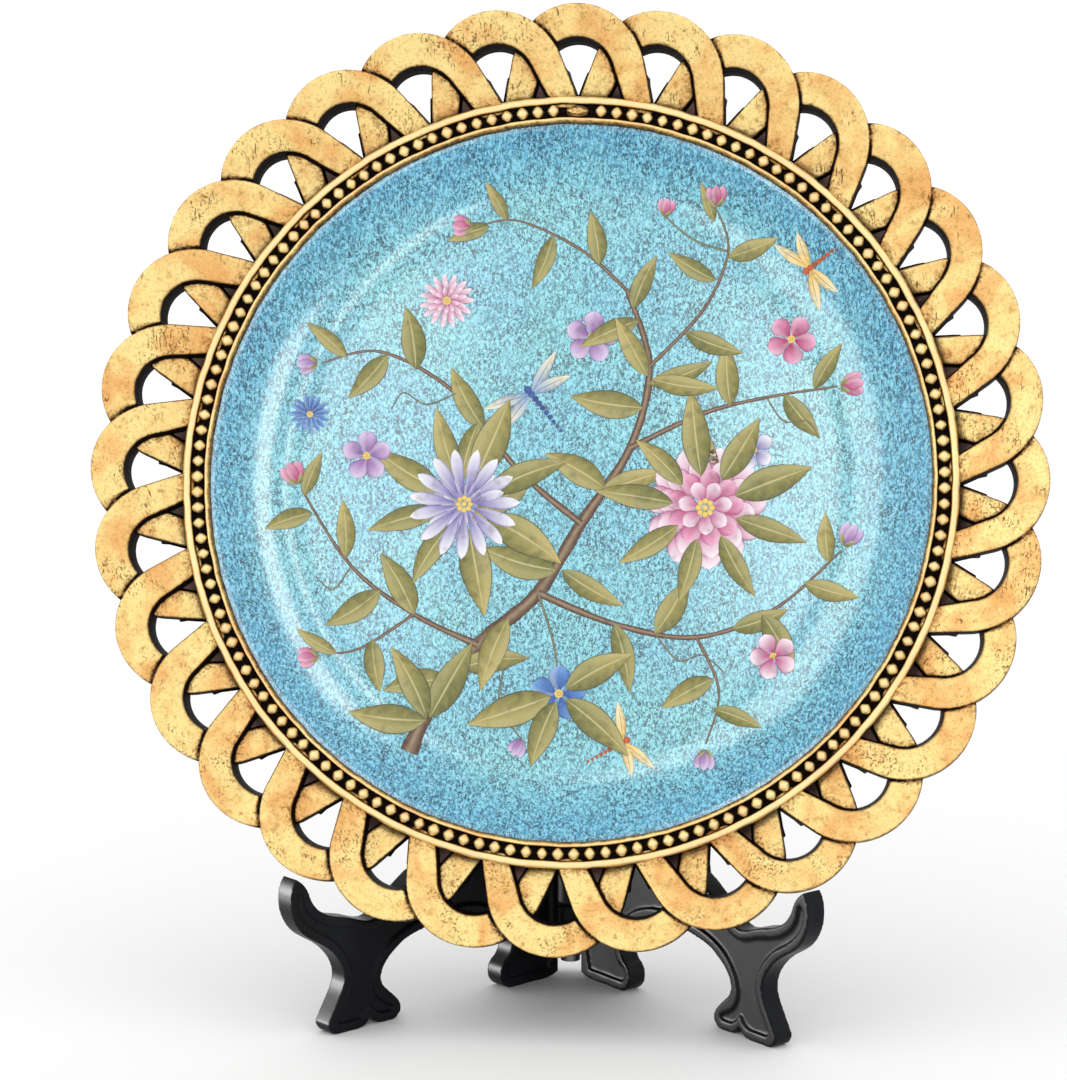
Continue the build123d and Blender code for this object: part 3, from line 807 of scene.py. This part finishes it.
# scratches run one way, specks gather near the wash and in patches
streak_place = put(gilding, "ShaderNodeMapping", {"Vector": place, "Rotation": (0.3, 0.5, 0.7),
                                                  "Scale": (1.0, 1.0, 0.22)}).outputs[0]
streaks = noise(gilding, streak_place, 1300.0, 3.0, 0.6)
scratched = maths(gilding, "MULTIPLY", stepped(gilding, streaks, 0.58, 0.65),
                  stepped(gilding, patch, 0.50, 0.60))
soiled = maths(gilding, "MAXIMUM", stepped(gilding, stain, 0.03, 0.22),
               stepped(gilding, patch, 0.55, 0.66, 0.25, 0.9))
specks = stepped(gilding, noise(gilding, place, 1150.0, 2.0, 0.5), 0.56, 0.62, 0.0, 0.9)
marks = maths(gilding, "MAXIMUM", scratched, maths(gilding, "MULTIPLY", specks, soiled))
marks = maths(gilding, "MULTIPLY", marks, inside.outputs["Grain"])
leaf_tone = mixed(gilding, maths(gilding, "MULTIPLY", marks, 0.8), leaf_tone, SCRATCH)
leaf_tone = mixed(gilding, stepped(gilding, stain, -0.3, 0.0, 0.75, 0.0), leaf_tone, LEAF_RUBBED_AND_HIGHLIGHT)

# the dark wash, which also serves as painted shade, ends in a ragged line
ragged = maths(gilding, "MULTIPLY_ADD", crumbs, 0.45, maths(gilding, "MULTIPLY_ADD", tufts, 0.65, -0.55))
ragged = maths(gilding, "ADD", stain, ragged)
wash_and_shade_mask = stepped(gilding, ragged, 0.26, 0.66)
leaf_tone = mixed(gilding, stepped(gilding, ragged, 0.02, 0.42, 0.0, 0.75), leaf_tone, THIN_WASH_AND_SHADE)
leaf_tone = mixed(gilding, wash_and_shade_mask, leaf_tone, THICK_WASH_AND_SHADE)
polish = maths(gilding, "MULTIPLY_ADD", marks, 0.2, maths(gilding, "MULTIPLY_ADD", cloud, 0.2, 0.27))
bare = maths(gilding, "MAXIMUM", wash_and_shade_mask, maths(gilding, "MULTIPLY", marks, 0.7))
hammered = maths(gilding, "MULTIPLY_ADD", noise(gilding, place, 150.0, 2.0), 1.6, tufts)
gilding.links.new(leaf_tone, outside.inputs["Color"])
gilding.links.new(maths(gilding, "MULTIPLY_ADD", wash_and_shade_mask, 0.12, polish), outside.inputs["Roughness"])
gilding.links.new(maths(gilding, "MULTIPLY_ADD", bare, -0.85, 0.88), outside.inputs["Metallic"])
gilding.links.new(maths(gilding, "MULTIPLY_ADD", marks, -0.6, hammered), outside.inputs["Height"])


def gilt(name, grain=1.0, depth=0.5):
    """Gilded material; the mesh's own stain says where the dark wash and the painted shade stand."""
    made, tree, shader = material(name, IOR=1.06)
    wash_and_shade_value = put(tree, "ShaderNodeAttribute", attribute_name="stain").outputs["Fac"]
    leaf = put(tree, "ShaderNodeGroup", {"Wash_and_painted_shade": wash_and_shade_value, "Grain": grain}, node_tree=gilding)
    coloured(tree, shader, leaf.outputs["Color"], leaf.outputs["Roughness"])
    tree.links.new(leaf.outputs["Metallic"], shader.inputs["Metallic"])
    bumped(tree, shader, leaf.outputs["Height"], depth, 0.0005)
    return made


woven_rim = solid("woven_rim", points, faces, wash_and_shade)
woven_rim.data.materials.append(gilt("gilt_rim"))
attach(woven_rim, "plate")
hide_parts("openwork_rim")


# ------------------------------------------------------------------ beaded bezel
# A cast ring that covers the joint of dish and rim: two rounded gilt bands with a channel between
# them. The channel keeps its black-brown wash, so the beads stand out bright.

# the ring's section: (radius, height, stain)
BEZEL_PROFILE = (
    (122.0, -2.3, 0.6), (122.05, -1.3, 0.5), (122.25, -0.3, 0.42), (122.6, 0.25, 0.34), (123.0, 0.55, 0.10),
    (123.35, 0.65, -0.3), (123.65, 0.5, -0.2), (123.85, 0.1, 0.35), (123.95, -0.4, 0.95), (124.0, -1.2, 1.0),
    (125.2, -1.2, 1.0), (125.5, -0.8, 0.95), (126.2, -0.5, 0.9), (126.9, -0.8, 0.95), (127.2, -1.2, 1.0),
    (128.4, -1.2, 1.0), (128.5, -0.3, 0.95), (128.65, 0.35, 0.3), (129.0, 0.85, -0.3), (129.7, 1.0, -0.3),
    (130.5, 0.95, -0.3), (130.95, 0.6, 0.0), (131.2, 0.1, 0.4), (131.3, -0.5, 0.9), (131.3, -2.3, 1.0))
BEZEL_STEPS = 720
points, wash_and_shade = [], []
for k in range(BEZEL_STEPS):
    turn = 2 * math.pi * k / BEZEL_STEPS
    # hand-finished, so a little wavy
    wave = (0.07 * math.sin(turn * 37 + 2 * math.sin(turn * 11))
            + 0.05 * math.sin(turn * 83 + math.sin(turn * 29)))
    for r, w, stain in BEZEL_PROFILE:
        points.append(on_plate((r + wave) * math.cos(turn), (r + wave) * math.sin(turn), w + wave * (w > 0)))
        wash_and_shade.append(stain)
bezel = solid("gilt_bezel", points, skin(0, BEZEL_STEPS, len(BEZEL_PROFILE), closed=True), wash_and_shade)
bezel.data.materials.append(gilt("gilt_bezel", 0.6, 0.3))
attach(bezel, "plate")
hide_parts("beaded_bezel")


# ------------------------------------------------------------------ beads and oval boss
# A row of round beads cast in the channel and one oval boss at the top where the row closes. Their
# crowns are rubbed bright, their feet stay dark. On the beads the bright crowns are partly a painted
# highlight, and painted shade darkens each bead towards its feet and on its inner side.

BEADS = 147
BEAD_CIRCLE = 126.2
BEAD_SIZE = 1.98
BOSS_GAP = 16.3
BEAD_PITCH = (2 * math.pi - BOSS_GAP / BEAD_CIRCLE) / (BEADS - 1)
BEAD_ROWS = 9
BEAD_SIDES = 16
BEAD_FOOT = -38
BEAD_LENGTH = 0.93
BEAD_HEIGHT = 0.95
BEAD_CROWN = 0.02
points, faces, wash_and_shade = [], [], []
for k in range(BEADS):
    turn = BOSS_GAP / BEAD_CIRCLE / 2 + BEAD_PITCH * k
    # no two beads are quite alike
    size = BEAD_SIZE * hand.uniform(0.95, 1.03)
    lift = hand.uniform(-0.12, 0.08)
    stretch = hand.uniform(0.94, 1.06)
    circle = BEAD_CIRCLE + hand.uniform(-0.08, 0.08)
    faces += skin(len(points), BEAD_ROWS + 1, BEAD_SIDES)
    for i in range(BEAD_ROWS + 1):
        rise = math.radians(BEAD_FOOT + (90 - BEAD_FOOT) * i / BEAD_ROWS)
        for j in range(BEAD_SIDES):
            way = 2 * math.pi * j / BEAD_SIDES
            squared = 1 + 0.05 * math.cos(4 * way)
            arm = size * math.cos(rise) * squared if i < BEAD_ROWS else BEAD_CROWN
            x = arm * math.cos(way) * stretch * BEAD_LENGTH
            u = circle + arm * math.sin(way)
            points.append(on_plate(*swung(x, u, -turn), lift + size * math.sin(rise) * BEAD_HEIGHT))
            # painted shade on each bead's inner side and towards its feet; a painted highlight on its crown
            painted_inner_shade = 0.22 * max(-math.sin(way), 0) * math.cos(rise)
            foot = max(-0.15 - math.sin(rise), 0) / 0.3
            wash_and_shade.append(min(foot + 0.2 * (1 - math.sin(rise)) ** 2 + painted_inner_shade - 0.28, 1.0))
beads = solid("beads", points, faces, wash_and_shade)
beads.data.materials.append(gilt("gilt_beads", 0.4, 0.25))
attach(beads, "plate")
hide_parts("bead_row")

BOSS_LENGTH = 4.1
BOSS_WIDTH = 2.15
BOSS_HEIGHT = 1.9
BOSS_SEAT = -1.2
BOSS_RINGS = 18
BOSS_STEPS = 72
LEAF_HALF = 0.62
LEAF_RIM = 0.18
MIDRIB = 0.08
EDGE_RING = 0.86
points, wash_and_shade = [], []
for i in range(BOSS_RINGS + 1):
    share = 1 - i / (BOSS_RINGS + 0.2)
    for k in range(BOSS_STEPS):
        turn = 2 * math.pi * k / BOSS_STEPS
        # a pointed leaf with slanting ribs lies along the oval
        a, b = share * math.cos(turn), share * math.sin(turn)
        ribs = math.cos(13 * (a + 0.7 * abs(b)))
        leaf = clamped((LEAF_HALF * (1 - a * a) - abs(b)) / LEAF_RIM)
        rise = 0.45 * min(1, (1 - share) * 6) + leaf * (0.35 + 0.10 * ribs + 0.12 * (abs(b) < MIDRIB))
        points.append(on_plate(BOSS_LENGTH * a, BEAD_CIRCLE + BOSS_WIDTH * b, BOSS_SEAT + BOSS_HEIGHT * rise))
        wash_and_shade.append(0.42 - 0.40 * leaf - 0.16 * ribs * leaf if share < EDGE_RING else 0.12)
boss = solid("oval_boss", points, skin(0, BOSS_RINGS + 1, BOSS_STEPS), wash_and_shade)
boss.data.materials.append(gilt("gilt_boss", 0.6, 0.3))
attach(boss, "plate")
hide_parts("top_medallion")


# ------------------------------------------------------------------ leaves of the stand
# Two boards moulded in black plastic, each with a hook for the plate, a notched front foot, a rear
# foot and sunk panels on both faces. The moulding leaves every edge softly rounded.

VOXEL = 0.00045
SOFTENING = 0.5
SOFTENING_ROUNDS = 5
BLACK_DULL = (0.004, 0.0045, 0.006, 1)
BLACK_HAZY = (0.009, 0.010, 0.012, 1)
moulding, tree, shader = material("moulded_black", IOR=1.2)
place = object_place(tree)
haze = noise(tree, place, 45.0, 3.0, 0.6)
coloured(tree, shader, mixed(tree, stepped(tree, haze, 0.35, 0.75), BLACK_DULL, BLACK_HAZY),
         maths(tree, "MULTIPLY_ADD", haze, 0.16, 0.27))
bumped(tree, shader, noise(tree, place, 900.0, 3.0, 0.6), 0.10, 0.0002)

boards = []
for side in ("left", "right"):
    blank = placed(side + "_blank", nodes[side + "_leaf"].data.copy())
    remesh = blank.modifiers.new("mould", "REMESH")
    remesh.mode = "VOXEL"
    remesh.voxel_size = VOXEL
    soften = blank.modifiers.new("soften", "SMOOTH")
    soften.factor = SOFTENING
    soften.iterations = SOFTENING_ROUNDS
    bpy.context.view_layer.update()
    shaped = bpy.data.meshes.new_from_object(blank.evaluated_get(bpy.context.evaluated_depsgraph_get()))
    bpy.data.objects.remove(blank)
    shaped.name = side + "_moulding"
    shaped.shade_smooth()
    shaped.materials.clear()
    shaped.materials.append(moulding)
    board = placed(side + "_moulding", shaped)
    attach(board, "stand_" + side)
    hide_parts(side + "_leaf")
    boards.append(board)


# ------------------------------------------------------------------ hinge pin and cap
# A drawn steel rod with a formed head above, and a steel cap pressed on below, that keep the two
# leaves together.

STEEL_DARK = (0.36, 0.36, 0.37, 1)
STEEL_BRIGHT = (0.58, 0.58, 0.59, 1)
steel, tree, shader = material("drawn_steel", Metallic=1.0)
drawn = put(tree, "ShaderNodeMapping", {"Vector": object_place(tree), "Scale": (1.0, 1.0, 0.03)}).outputs[0]
lines = noise(tree, drawn, 2600.0, 3.0, 0.6)
coloured(tree, shader, mixed(tree, lines, STEEL_DARK, STEEL_BRIGHT),
         maths(tree, "MULTIPLY_ADD", lines, 0.2, 0.25))
bumped(tree, shader, lines, 0.1, 0.0001)
for name in ("hinge_pin", "pin_cap"):
    dress(name, steel)


# ------------------------------------------------------------------ floor, light and camera
# A plain pale floor under a white sky. Three windows light only the dish and give its glaze its
# highlights, two low lamps light only the black boards, and a weak key lamp lights it all. The
# camera stands a little above the plate's middle and to its right.

FLOOR_SIZE = 30.0
FLOOR_GREY = (0.86, 0.86, 0.86, 1)
FLOOR_PALE = (0.89, 0.89, 0.89, 1)
half = FLOOR_SIZE / 2
floor_mesh = bpy.data.meshes.new("floor")
floor_mesh.from_pydata([(-half, -half, 0), (half, -half, 0), (half, half, 0), (-half, half, 0)], [],
                       [(0, 1, 2, 3)])
floor = placed("floor", floor_mesh)
pale, tree, shader = material("pale_floor", Roughness=0.7)
coloured(tree, shader, mixed(tree, noise(tree, object_place(tree), 3.0), FLOOR_GREY, FLOOR_PALE))
floor.data.materials.append(pale)

SKY_STRENGTH = 1.18
world = bpy.data.worlds.new("studio")
bpy.context.scene.world = world
world.use_nodes = True
backdrop = world.node_tree.nodes["Background"]
backdrop.inputs["Color"].default_value = (1.0, 1.0, 1.0, 1)
backdrop.inputs["Strength"].default_value = SKY_STRENGTH

PLATE_AIM = (0, 0, 0.17)
BOARD_AIM = (0, 0, 0.03)


def soft_box(name, spot, wide, high, power, target=PLATE_AIM, only=None):
    """Area light of so many watts, its size in metres, aimed at target; only is the one piece it lights."""
    lamp = bpy.data.lights.new(name, "AREA")
    lamp.shape = "RECTANGLE"
    lamp.size = wide
    lamp.size_y = high
    lamp.energy = power
    made = placed(name, lamp)
    made.location = spot
    made.rotation_euler = (Vector(spot) - Vector(target)).to_track_quat("Z", "Y").to_euler()
    if only:
        lit = bpy.data.collections.new(name + "_lights")
        lit.objects.link(only)
        made.light_linking.receiver_collection = lit
        made.light_linking.blocker_collection = lit
        made.visible_diffuse = False


china = nodes["glazed_dish"]
soft_box("key", (-1.3, -1.2, 0.9), 0.8, 0.8, 1)
soft_box("window_right", (0.43, -1.16, 0.85), 0.26, 0.95, 9.0, only=china)
soft_box("window_middle", (0.03, -1.16, 0.68), 0.07, 0.60, 1.5, only=china)
soft_box("window_left", (-0.40, -1.10, 0.72), 0.46, 0.8, 7.0, only=china)
for name, board, power in (("low_left", boards[0], 32), ("low_far_left", boards[1], 28)):
    soft_box(name, (-0.90, -0.08, 0.07), 0.5, 0.4, power, target=BOARD_AIM, only=board)

AZIMUTH = math.radians(5.3)
ELEVATION = math.radians(10.5)
DISTANCE = 1.2
TARGET = Vector((-0.0112, 0.009, 0.1570))
LENS_LENGTH = 118.7333
SENSOR = 36.0
CLIP_START = 0.05
away = Vector((math.sin(AZIMUTH) * math.cos(ELEVATION), -math.cos(AZIMUTH) * math.cos(ELEVATION),
               math.sin(ELEVATION)))
lens = bpy.data.cameras.new("camera")
lens.sensor_width = SENSOR
lens.lens = LENS_LENGTH
lens.clip_start = CLIP_START
camera = placed("camera", lens)
camera.location = TARGET + away * DISTANCE
camera.rotation_euler = away.to_track_quat("Z", "Y").to_euler()
bpy.context.scene.camera = camera
bpy.context.scene.view_settings.view_transform = "Standard"
